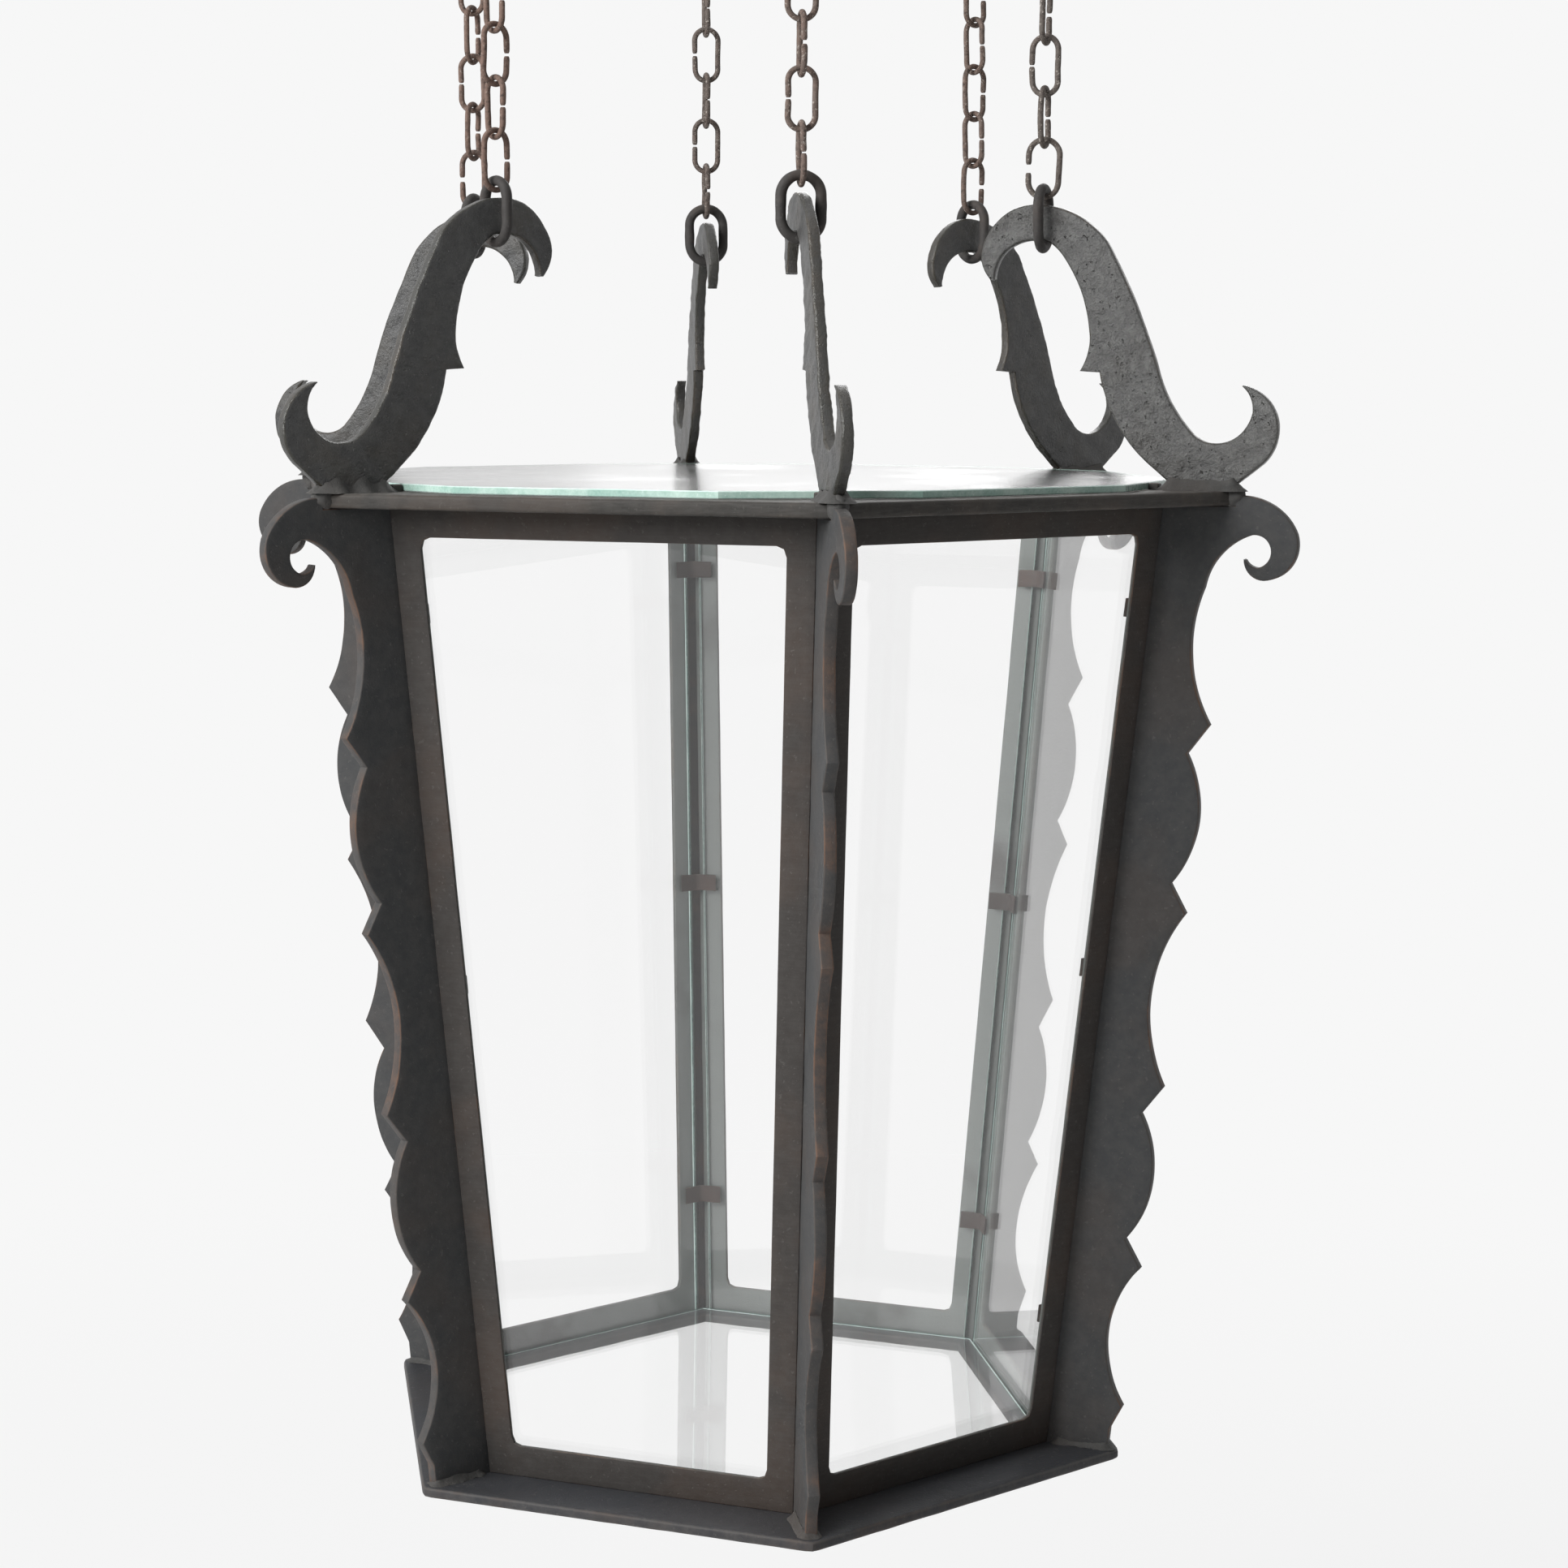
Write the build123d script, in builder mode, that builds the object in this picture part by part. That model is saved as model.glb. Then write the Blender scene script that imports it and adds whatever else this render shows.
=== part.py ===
# A six-sided wrought iron hanging lantern with glass sides, scroll brackets and six hanging chains.
# Heights run down from the ceiling at z = 0. The front corner of the lantern points along -Y.
import os
from math import atan, cos, pi, sin, sqrt, tan

from build123d import *

# Body: a tapered six-sided box of flat iron frames
side_count = 6
opening_height = 500.0
top_corner_radius = 242.7
bottom_corner_radius = 189.0
frame_thickness = 3.0
stile_width = 15.7
top_rail = 15.4
bottom_rail = 17.8
opening_corner_cut = 3.0

# Rings above and below the frames
ring_lap = 17.0
ring_edge_chamfer = 1.5
top_ring_overhang = 37.146
top_ring_thickness = 8.0
bottom_ring_overhang = 39.312
bottom_ring_thickness = 6.0

# Glass
side_pane_thickness = 4.0
top_pane_thickness = 4.0
bottom_pane_thickness = 4.0
top_pane_inset = 16.0
glass_gap = 0.2

# Corner fins: plates with two spear motifs, three bays and a curl at the top
plate_thickness = 7.0
thorn_standout = 38.5
notch_standout = 28.0
bulge_standout = 39.0
bay_standout = 24.5
foot_standout = 33.0
foot_notch_height = 12.0
foot_thorn_height = 25.5
motif_count = 2
motif_start = 106.5
motif_pitch = 203.0
motif_height = 104.5
motif_notch = 16.0
fin_ring_gap = 0.3

# Scroll brackets: plates on the top ring that hook inwards over the lantern
foot_length = 36.0
foot_height = 3.5
curl_reach = 22.5
curl_height = 56.8
hook_inset = 110.0
hook_height = 133.9
hook_depth = 19.5
seat_length = 10.0
seat_round = 10.0
hook_gap = 0.5

# Stops and clips that hold the glass
stop_length = 6.0
stop_width = 8.0
stop_height = 3.5
clip_leg = 12.8
clip_height = 10.2
clip_thickness = 1.5
clip_count = 3
clip_start = 60.0
clip_pitch = 200.0
clip_stem_width = 4.0
clip_stem_height = 6.0

# Chains: an eye in the ceiling, five links and a shackle round the hook of each bracket
link_width = 17.5
link_length = 34.26
link_wire = 3.3
link_count = 5
link_gap = 0.3
shackle_width = 26.5
shackle_length = 38.0
shackle_wire = 5.8
eye_size = 19.0
eye_wire = 5.0
collar_radius = 9.0
collar_thickness = 4.0
stud_radius = 4.0
stud_length = 30.0
wire_sides = 6
bend_corners = 4

# Shared angles
half_turn_of_side = pi / side_count
side_turn = 360 / side_count
first_corner_turn = -90
first_side_turn = first_corner_turn + side_turn / 2

# Heights of the chain, from the ceiling down: each ring hangs in the one above it
eye_z = -(collar_thickness + eye_size / 2)
eye_seat_z = eye_z - (eye_size - eye_wire) / 2
link_reach = (link_length - link_wire) / 2
first_link_z = eye_seat_z + (eye_wire + link_wire) / 2 + link_gap - link_reach
link_pitch = 2 * link_reach - link_wire - link_gap
last_link_z = first_link_z - link_pitch * (link_count - 1)
shackle_reach = (shackle_length - shackle_wire) / 2
shackle_z = last_link_z - link_reach + (link_wire + shackle_wire) / 2 + link_gap - shackle_reach

# The hook's plate rests in the round of the shackle, so its edges stand clear of the lowest point
shackle_bore = shackle_width / 2 - shackle_wire
hook_rise = shackle_bore - sqrt(shackle_bore**2 - (plate_thickness / 2) ** 2)
hook_z = shackle_z - shackle_reach + shackle_wire / 2 + hook_rise + hook_gap

# Heights of the body
top_ring_top_z = hook_z - hook_height
top_ring_base_z = top_ring_top_z - top_ring_thickness
opening_top_z = top_ring_base_z - top_rail
opening_base_z = opening_top_z - opening_height
bottom_ring_top_z = opening_base_z - bottom_rail
middle_z = (opening_base_z + opening_top_z) / 2

# Slope of the sides
corner_taper = (top_corner_radius - bottom_corner_radius) / opening_height
side_lean = atan(corner_taper * cos(half_turn_of_side))


def corner_radius(z):
    """Centre to the corner of the sides' outer faces, at a height."""
    return bottom_corner_radius + corner_taper * (z - opening_base_z)


# The rings stand out from the corners of the sides, and the chains hang inside the top ring's corners
top_ring_reach = corner_radius(top_ring_base_z) + top_ring_overhang
bottom_ring_reach = corner_radius(bottom_ring_top_z) + bottom_ring_overhang
chain_radius = top_ring_reach - hook_inset


def side_distance(z, depth):
    """Centre to a side's face at a height, with the depth measured square to the glass."""
    return corner_radius(z) * cos(half_turn_of_side) - depth / cos(side_lean)


def side_half_width(distance):
    """Half the width of a side between the faces of the corner fins."""
    return distance * tan(half_turn_of_side) - plate_thickness / 2 / cos(half_turn_of_side)


def side_plane(depth):
    """A plane that leans with the sides, facing +X, at a depth behind their outer face."""
    return Plane(
        origin=(side_distance(middle_z, depth), 0, middle_z),
        x_dir=(0, 1, 0),
        z_dir=(cos(side_lean), 0, -sin(side_lean)),
    )


def fin_plane(end, gap):
    """The plane of the fin's face at one end of a side, less a gap, facing away from the side."""
    across = -sin(half_turn_of_side)
    along = end * cos(half_turn_of_side)
    back = plate_thickness / 2 + gap
    return Plane(origin=(-across * back, -along * back, 0), z_dir=(across, along, 0))


def side_slab(front, back, base_z, top_z, gap):
    """A sheet that leans with the sides, cut level at both ends and square to the fins."""
    with BuildPart() as slab:
        with BuildSketch(side_plane(front)):
            Rectangle(2 * top_corner_radius, 2 * opening_height)
        extrude(amount=front - back)
        split(bisect_by=Plane.XY.offset(top_z), keep=Keep.BOTTOM)
        split(bisect_by=Plane.XY.offset(base_z), keep=Keep.TOP)
        split(bisect_by=fin_plane(1, gap), keep=Keep.BOTTOM)
        split(bisect_by=fin_plane(-1, gap), keep=Keep.BOTTOM)
    return slab.part


def write_node(part, name):
    part.label = name
    export_step(part, f"parts/{name}.step")


def write_copies(part, name, first_turn):
    """One copy of a piece on each side or corner."""
    for number in range(side_count):
        with BuildPart() as copy:
            add(part, rotation=(0, 0, first_turn + side_turn * number))
        write_node(copy.part, f"{name}_{number + 1}")


os.makedirs("parts", exist_ok=True)

# Side frame: a flat trapezoid with one opening, drawn facing +X
with BuildPart() as side_frame:
    add(side_slab(0, frame_thickness, bottom_ring_top_z, top_ring_base_z, 0))
    slope_half = opening_height / 2 / cos(side_lean)
    top_half = side_half_width(side_distance(opening_top_z, 0)) - stile_width
    base_half = side_half_width(side_distance(opening_base_z, 0)) - stile_width
    with BuildSketch(side_plane(0)) as opening:
        Polygon(
            (-base_half, -slope_half),
            (base_half, -slope_half),
            (top_half, slope_half),
            (-top_half, slope_half),
            align=None,
        )
        chamfer(opening.vertices(), opening_corner_cut)
    extrude(amount=-2 * frame_thickness, mode=Mode.SUBTRACT)
write_copies(side_frame.part, "side_frame", first_side_turn)

# Side pane: a sheet of glass behind each frame, standing on the bottom ring
pane_front = frame_thickness + glass_gap
pane_back = pane_front + side_pane_thickness
side_pane = side_slab(pane_front, pane_back, bottom_ring_top_z, top_ring_base_z - glass_gap, glass_gap)
write_copies(side_pane, "side_pane", first_side_turn)


def flat_ring(reach, thickness, top_z, side_z):
    """Six flat bars mitred into a ring that reaches in behind the sides, with eased outer edges."""
    inner_edge = side_distance(side_z, 0) - ring_lap
    with BuildPart() as ring:
        with BuildSketch(Plane.XY.offset(top_z)):
            RegularPolygon(reach, side_count, rotation=first_corner_turn)
            RegularPolygon(
                inner_edge,
                side_count,
                major_radius=False,
                rotation=first_corner_turn,
                mode=Mode.SUBTRACT,
            )
        extrude(amount=-thickness)
        rim = ring.faces().filter_by(Axis.Z, reverse=True).sort_by(SortBy.DISTANCE)[-side_count:]
        chamfer(rim.edges().filter_by(Axis.Z, reverse=True), ring_edge_chamfer)
    return ring.part


top_ring = flat_ring(top_ring_reach, top_ring_thickness, top_ring_top_z, top_ring_base_z)
write_node(top_ring, "top_ring")
bottom_ring = flat_ring(bottom_ring_reach, bottom_ring_thickness, bottom_ring_top_z, bottom_ring_top_z)
write_node(bottom_ring, "bottom_ring")

# Top pane: a hexagon with cut corners that lies on the top ring between the bracket feet
foot_inner_radius = top_ring_reach - foot_length
stop_outer_radius = foot_inner_radius - stop_length
stop_inner_radius = stop_outer_radius - stop_length
with BuildPart() as top_pane:
    with BuildSketch(Plane.XY.offset(top_ring_top_z)):
        pane_edge = top_ring_reach * cos(half_turn_of_side) - top_pane_inset
        RegularPolygon(pane_edge, side_count, major_radius=False, rotation=first_corner_turn)
        RegularPolygon(
            stop_inner_radius - glass_gap,
            side_count,
            major_radius=False,
            rotation=first_side_turn,
            mode=Mode.INTERSECT,
        )
    extrude(amount=top_pane_thickness)
write_node(top_pane.part, "top_pane")

# Bottom pane: a hexagon that lies on the bottom ring inside the side panes
with BuildPart() as bottom_pane:
    with BuildSketch(Plane.XY.offset(bottom_ring_top_z)):
        pane_edge = side_distance(bottom_ring_top_z, pane_back) - glass_gap
        RegularPolygon(pane_edge, side_count, major_radius=False, rotation=first_corner_turn)
    extrude(amount=bottom_pane_thickness)
write_node(bottom_pane.part, "bottom_pane")

# Pane stops: a small block on the ring in front of each cut corner of the top pane
with BuildPart() as pane_stops:
    with BuildSketch(Plane.XY.offset(top_ring_top_z)):
        with PolarLocations((stop_inner_radius + stop_outer_radius) / 2, side_count, first_corner_turn):
            Rectangle(stop_length, stop_width)
    extrude(amount=stop_height)
write_node(pane_stops.part, "pane_stops")


def clip_section(z):
    """Level section of a clip: a V that lies against the backs of two panes."""
    face = side_distance(z, pane_back + glass_gap)
    back = side_distance(z, pane_back + glass_gap + clip_thickness)
    lean_x = clip_leg * sin(half_turn_of_side)
    lean_y = clip_leg * cos(half_turn_of_side)
    nose = face / cos(half_turn_of_side)
    heel = back / cos(half_turn_of_side)
    with BuildSketch(Plane.XY.offset(z)) as section:
        Polygon(
            (nose, 0),
            (nose - lean_x, lean_y),
            (heel - lean_x, lean_y),
            (heel, 0),
            (heel - lean_x, -lean_y),
            (nose - lean_x, -lean_y),
            align=None,
        )
    return section.sketch


def stem_section(z):
    """Level section of a clip's stem, which reaches between two panes to the fin behind them."""
    heel = side_distance(z, pane_back + glass_gap + clip_thickness) / cos(half_turn_of_side)
    tip = side_distance(z, frame_thickness) / cos(half_turn_of_side)
    half = clip_stem_width / 2
    with BuildSketch(Plane.XY.offset(z)) as section:
        Polygon((heel, -half), (tip, -half), (tip, half), (heel, half), align=None)
    return section.sketch


# Glass clips: three at each corner, drawn at the +X corner and repeated round the lantern
clip_heights = [opening_base_z + clip_start + clip_pitch * number for number in range(clip_count)]
clips = []
for height in clip_heights:
    with BuildPart() as glass_clip:
        loft([clip_section(height + side * clip_height / 2) for side in (-1, 1)])
        loft([stem_section(height + side * clip_stem_height / 2) for side in (-1, 1)])
    clips.append(glass_clip.part)
with BuildPart() as glass_clips:
    for clip in clips:
        with PolarLocations(0, side_count, first_corner_turn):
            add(clip)
write_node(glass_clips.part, "glass_clips")
fin_foot_z = bottom_ring_top_z


def fin_point(height, standout):
    """A point of the fin, by its height above the foot and how far it stands out from the sides."""
    z = fin_foot_z + height
    return (corner_radius(z) + standout, z)


def curl_point(out, down):
    """A point of the fin's curl, measured from the corner of the top ring."""
    return (top_ring_reach + out, top_ring_base_z - down)


def fin_inner(z):
    """The fin's inner edge, flush with the backs of the two frames beside it."""
    return (side_distance(z, frame_thickness) / cos(half_turn_of_side), z)


# Corner fin: drawn in the XZ plane, from the foot up the outer edge to the curl and back
with BuildPart() as corner_fin:
    with BuildSketch(Plane.XZ.offset(-plate_thickness / 2)):
        with BuildLine():
            thorn = fin_point(foot_thorn_height, thorn_standout)
            Polyline(
                fin_inner(fin_foot_z),
                fin_point(0, foot_standout),
                fin_point(foot_notch_height, foot_standout),
                thorn,
            )
            for number in range(motif_count):
                low = motif_start + motif_pitch * number
                high = low + motif_height
                low_thorn = fin_point(low, thorn_standout)
                low_notch = fin_point(low + motif_notch, notch_standout)
                high_notch = fin_point(high - motif_notch, notch_standout)
                bay_height = (thorn[1] + low_thorn[1]) / 2 - fin_foot_z
                ThreePointArc(thorn, fin_point(bay_height, bay_standout), low_thorn)
                Line(low_thorn, low_notch)
                ThreePointArc(low_notch, fin_point((low + high) / 2, bulge_standout), high_notch)
                thorn = fin_point(high, thorn_standout)
                Line(high_notch, thorn)
            throat = curl_point(-16, 44)
            bay_height = (thorn[1] + throat[1]) / 2 - fin_foot_z
            ThreePointArc(thorn, fin_point(bay_height, bay_standout - 1), throat)
            eye_top = curl_point(9.5, 15.4)
            ThreePointArc(throat, curl_point(-6.5, 25.4), eye_top)
            eye_base = curl_point(13, 32.8)
            ThreePointArc(eye_top, curl_point(20, 24), eye_base)
            tip = curl_point(5.5, 27)
            ThreePointArc(eye_base, curl_point(8.5, 31.2), tip)
            under = curl_point(16.5, 39.9)
            ThreePointArc(tip, curl_point(8, 36), under)
            side = curl_point(33.5, 14)
            ThreePointArc(under, curl_point(31.5, 31), side)
            crest = curl_point(fin_ring_gap, -5.6)
            ThreePointArc(side, curl_point(20, -1.2), crest)
            Polyline(
                crest,
                curl_point(fin_ring_gap, 0),
                fin_inner(top_ring_base_z),
                fin_inner(fin_foot_z),
            )
        make_face()
    extrude(amount=plate_thickness)
write_copies(corner_fin.part, "corner_fin", first_corner_turn)


def bracket_point(inward, up):
    """A point of the bracket, measured inwards from the ring's corner and up from the ring."""
    return (top_ring_reach - inward, top_ring_top_z + up)


def stem_point(inward_share, up_share):
    """A point of the bracket's S-shaped stem, as shares of the hook's inset and height."""
    return bracket_point(inward_share * hook_inset, up_share * hook_height)


# Scroll bracket: a foot with an upturned curl, an S-shaped stem with a thorn, and a hook with a beak
with BuildPart() as scroll_bracket:
    with BuildSketch(Plane.XZ.offset(-plate_thickness / 2)) as bracket_outline:
        with BuildLine():
            curl_tip = bracket_point(-1.5, curl_height)
            curl_base = bracket_point(-15, 15)
            Polyline(bracket_point(foot_length, 0), bracket_point(0, 0), bracket_point(-0.5, foot_height), curl_base)
            ThreePointArc(curl_base, bracket_point(-curl_reach, 0.6 * curl_height), curl_tip)
            curl_inner = bracket_point(-8, 42)
            ThreePointArc(curl_tip, bracket_point(-6.5, 50), curl_inner)
            saddle = bracket_point(24, 30)
            ThreePointArc(curl_inner, bracket_point(9.5, 25.6), saddle)
            crown = bracket_point(hook_inset + 4, hook_height + hook_depth)
            stem_low = stem_point(0.4, 0.486)
            stem_high = stem_point(0.668, 0.994)
            ThreePointArc(saddle, stem_point(0.328, 0.344), stem_low)
            ThreePointArc(stem_low, stem_point(0.516, 0.743), stem_high)
            TangentArc(crown, stem_high, tangent=(1, 0))
            beak = bracket_point(hook_inset + 26, hook_height - 23)
            cheek = bracket_point(hook_inset + 34, hook_height - 6)
            TangentArc(crown, cheek, tangent=(-1, 0))
            ThreePointArc(cheek, bracket_point(hook_inset + 32.5, hook_height - 15.5), beak)
            seat_end = bracket_point(hook_inset + seat_length / 2, hook_height)
            seat = bracket_point(hook_inset - seat_length / 2, hook_height)
            TangentArc(seat_end, beak, tangent=(-1, 0))
            Line(seat_end, seat)
            thorn_root = stem_point(0.75, 0.63)
            ThreePointArc(seat, stem_point(0.822, 0.845), thorn_root)
            thorn_tip = stem_point(0.795, 0.475)
            ThreePointArc(thorn_root, stem_point(0.757, 0.55), thorn_tip)
            thorn_base = stem_point(0.695, 0.47)
            Line(thorn_tip, thorn_base)
            heel = bracket_point(foot_length + 0.5, foot_height)
            heel_top = stem_point(0.438, 0.1)
            ThreePointArc(thorn_base, stem_point(0.606, 0.266), heel_top)
            Line(heel_top, heel)
            Line(heel, bracket_point(foot_length, 0))
        make_face()
        fillet(bracket_outline.vertices().sort_by_distance(seat)[0], seat_round)
    extrude(amount=plate_thickness)
write_copies(scroll_bracket.part, "scroll_bracket", first_corner_turn)


facet_growth = pi / (wire_sides * sin(pi / wire_sides))  # the facets have the round wire's girth


def wire_ring(plane, width, length, wire):
    """A closed ring of faceted wire: two straight legs and two half-round bends, upright in a plane."""
    bend_radius = (width - wire) / 2
    leg_half = (length - wire) / 2 - bend_radius
    corner_reach = bend_radius / cos(pi / (2 * bend_corners))
    angles = [pi * (number + 0.5) / bend_corners for number in range(bend_corners)]
    top_bend = [(corner_reach * cos(angle), leg_half + corner_reach * sin(angle)) for angle in angles]
    base_bend = [(-across, -up) for across, up in top_bend]
    wire_start = plane.from_local_coords((-bend_radius, 0, 0))
    with BuildPart() as ring:
        with BuildLine(plane):
            Polyline(*top_bend, *base_bend, close=True)
        with BuildSketch(Plane(wire_start, x_dir=plane.x_dir, z_dir=(0, 0, 1))):
            RegularPolygon(wire / 2 * facet_growth, wire_sides, rotation=180 / wire_sides)
        sweep(transition=Transition.RIGHT)
    return ring.part


def along_plane(z):
    """The plane of a ring that lies in line with the bracket."""
    return Plane((chain_radius, 0, z), x_dir=(1, 0, 0), z_dir=(0, -1, 0))


def across_plane(z):
    """The plane of a ring that lies square to the bracket."""
    return Plane((chain_radius, 0, z), x_dir=(0, 1, 0), z_dir=(1, 0, 0))


def ring_plane(number, z):
    """The plane of a ring, counted down from the top link: a quarter turn from one to the next."""
    return along_plane(z) if (link_count - number) % 2 else across_plane(z)


# Ceiling eye: a ring on a stud with a collar that bears on the ceiling
with BuildPart() as ceiling_eye:
    add(wire_ring(ring_plane(-1, eye_z), eye_size, eye_size, eye_wire))
    with BuildSketch(Plane((chain_radius, 0, 0))):
        RegularPolygon(collar_radius, 6)
    extrude(amount=-(collar_thickness + eye_wire / 2))
    with Locations((chain_radius, 0, 0)):
        Cylinder(stud_radius, stud_length, align=(Align.CENTER, Align.CENTER, Align.MIN))
write_copies(ceiling_eye.part, "ceiling_eye", first_corner_turn)

# Top link: hangs in the eye, square to it
top_link = wire_ring(ring_plane(0, first_link_z), link_width, link_length, link_wire)
write_copies(top_link, "top_link", first_corner_turn)

# Chain links below it, each a quarter turn from the last
with BuildPart() as chain_links:
    for number in range(1, link_count):
        level = first_link_z - link_pitch * number
        add(wire_ring(ring_plane(number, level), link_width, link_length, link_wire))
write_copies(chain_links.part, "chain_links", first_corner_turn)

# Shackle: an oval ring round the bracket's hook
shackle = wire_ring(ring_plane(link_count, shackle_z), shackle_width, shackle_length, shackle_wire)
write_copies(shackle, "shackle", first_corner_turn)

for name, height in (
    ("hook underside", hook_z),
    ("top ring top", top_ring_top_z),
    ("opening base", opening_base_z),
    ("bottom ring underside", bottom_ring_top_z - bottom_ring_thickness),
    ("eye and link contact", eye_seat_z + eye_wire / 2),
    ("first and second link contact", first_link_z - link_reach + link_wire / 2),
    ("last link and shackle contact", last_link_z - link_reach + link_wire / 2),
    ("round of the shackle", shackle_z - shackle_length / 2 + shackle_width / 2),
):
    print(name, round(height, 3))
print("chain radius", round(chain_radius, 3))
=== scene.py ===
from functools import reduce
from types import SimpleNamespace

import bpy
import numpy as np
from mathutils import Matrix, Vector


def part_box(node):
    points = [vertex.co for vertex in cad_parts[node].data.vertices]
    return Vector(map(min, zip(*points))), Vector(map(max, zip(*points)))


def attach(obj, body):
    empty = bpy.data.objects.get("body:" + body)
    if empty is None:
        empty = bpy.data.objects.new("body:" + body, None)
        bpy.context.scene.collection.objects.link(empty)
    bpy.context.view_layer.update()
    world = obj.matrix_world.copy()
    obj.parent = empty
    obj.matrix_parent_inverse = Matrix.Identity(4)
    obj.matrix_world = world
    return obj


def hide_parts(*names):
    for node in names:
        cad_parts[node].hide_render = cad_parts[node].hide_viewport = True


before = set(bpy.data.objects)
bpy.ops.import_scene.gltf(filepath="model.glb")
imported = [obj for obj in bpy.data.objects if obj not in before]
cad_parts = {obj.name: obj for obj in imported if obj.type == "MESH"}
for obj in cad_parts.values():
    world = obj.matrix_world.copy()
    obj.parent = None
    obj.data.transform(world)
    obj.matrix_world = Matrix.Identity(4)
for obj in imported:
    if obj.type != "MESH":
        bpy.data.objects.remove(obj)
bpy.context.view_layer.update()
print("frame:", len(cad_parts), "nodes")
scene = bpy.context.scene

# Sizes are in millimetres, and become metres when a mesh is made
mm = 0.001
fullTurn = 2 * np.pi
cornerTurns = np.radians(-90 + 60 * np.arange(6))  # corner 1 is the front one
sideTurns = cornerTurns + np.radians(30)
sin30, cos30, tan30 = 0.5, np.cos(np.pi / 6), np.tan(np.pi / 6)
ringReach = 281.5  # axis to a corner of the top ring
plateThickness = 7.0  # fins and brackets
seedStep = 7  # between the random seeds of like plates


def level(node, end):  # height of a node's lowest (0) or highest (1) point
    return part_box(node)[end].z / mm


ringTop, ringBase = level("top_ring", 1), level("top_ring", 0)
footTop = level("bottom_ring", 1)
sides = {
    "topCorner": 242.7, "baseCorner": 189.0, "topRail": 15.4, "bottomRail": 17.8,
    "stile": 15.7, "sheet": 3.0, "openingRound": 5.0,
}
openTop, openBase = ringBase - sides["topRail"], footTop + sides["bottomRail"]
taper = (sides["topCorner"] - sides["baseCorner"]) / (openTop - openBase)
lean = np.arctan(taper * cos30)


def cornerRadius(z):
    return sides["baseCorner"] + taper * (z - openBase)


def sideDistance(z, depth):  # axis to a side, at a depth behind its outer face
    return cornerRadius(z) * cos30 - depth / np.cos(lean)


def sideHalf(z, depth, gap=0.0):  # half a side's width between two fins
    return sideDistance(z, depth) * tan30 - (plateThickness / 2 + gap) / cos30


def placed(radial, tangential, height, turn):
    # radius, offset along the tangent and height, turned about the lantern's axis
    x = radial * np.cos(turn) - tangential * np.sin(turn)
    y = radial * np.sin(turn) + tangential * np.cos(turn)
    return np.stack(np.broadcast_arrays(x, y, height), -1)


def standing(turn):  # a plate on a corner's radius, as thick along the tangent
    return lambda radial, height, lift: placed(radial, lift, height, turn)


def leaning(turn, front, way):  # a flat piece on a side, as thick inwards (1) or outwards (-1)
    def place(across, height, lift):
        return placed(sideDistance(height, front + way * lift), across, height, turn)

    return place


def onRadius(turn, radius, base):  # a piece about a spot on a corner's radius, as thick upwards
    return lambda along, across, lift: placed(radius + along, across, base + lift, turn)


def lying(base):  # a flat piece at a height, as thick upwards
    return lambda x, y, lift: np.stack(np.broadcast_arrays(x, y, base + lift), -1)


def unevenness(points, size, seed, count=9):
    # sine waves in random directions, of about the given length, from about -1 to 1
    dice = np.random.default_rng(seed)
    waves = dice.normal(size=(count, 3))
    pitch = fullTurn / size * dice.uniform(0.6, 1.5, (count, 1))
    waves *= pitch / np.linalg.norm(waves, axis=1)[:, None]
    return np.sin(points @ waves.T + dice.uniform(0, fullTurn, count)).sum(-1) / 4


def roughened(points, amount, size, seed):  # moved a little each way by its own unevenness
    return points + amount * np.stack([unevenness(points, size, seed + k) for k in (1, 2, 3)], -1)


def spots(group, place):  # named places from a dict of pairs
    return SimpleNamespace(**{name: place(*pair) for name, pair in group.items()})


def unit(rows):
    return rows / np.linalg.norm(rows, axis=1)[:, None]


def ray(angle):  # the way an angle points
    return np.stack([np.cos(angle), np.sin(angle)], -1)


# Runs of points along lines and arcs

def lineRun(*points):
    return np.array(points, float)


def circleRun(centre, start, end, clockwise, count=64):
    # points round a centre from start to end
    first, last = (np.arctan2(p[1] - centre[1], p[0] - centre[0]) for p in (start, end))
    turn = -((first - last) % fullTurn) if clockwise else (last - first) % fullTurn
    angle = first + turn * np.linspace(0, 1, count)
    return centre + np.hypot(*(start - centre)) * ray(angle)


def arcRun(start, via, end):
    # the circle through three points: its centre is equally far from each
    start, via, end = (np.array(p, float) for p in (start, via, end))
    squares = [via @ via - start @ start, end @ end - start @ start]
    centre = np.linalg.solve(2 * np.array([via - start, end - start]), squares)
    clockwise = np.cross(via - start, end - via) < 0
    return circleRun(centre, start, end, clockwise)


def tangentRun(start, end, heading):
    # the arc that leaves start along a heading: its centre is square to the heading
    start, end, heading = (np.array(p, float) for p in (start, end, heading))
    square = np.array([-heading[1], heading[0]])
    reach = (end - start) @ (end - start) / (2 * square @ (end - start))
    return circleRun(start + reach * square, start, end, reach < 0)


def runLength(run):
    return np.linalg.norm(np.diff(run, axis=0), axis=1).sum()


def spread(run, count, first=0.0, last=1.0):
    # evenly spaced points between two shares of a run's length
    along = np.r_[0, np.cumsum(np.linalg.norm(np.diff(run, axis=0), axis=1))]
    at = np.linspace(first, last, count) * along[-1]
    return np.stack([np.interp(at, along, run[:, axis]) for axis in range(run.shape[1])], -1)


def share(run, first, last):  # the stretch of a run between two shares of its length
    return spread(run, 64, first, last)


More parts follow.
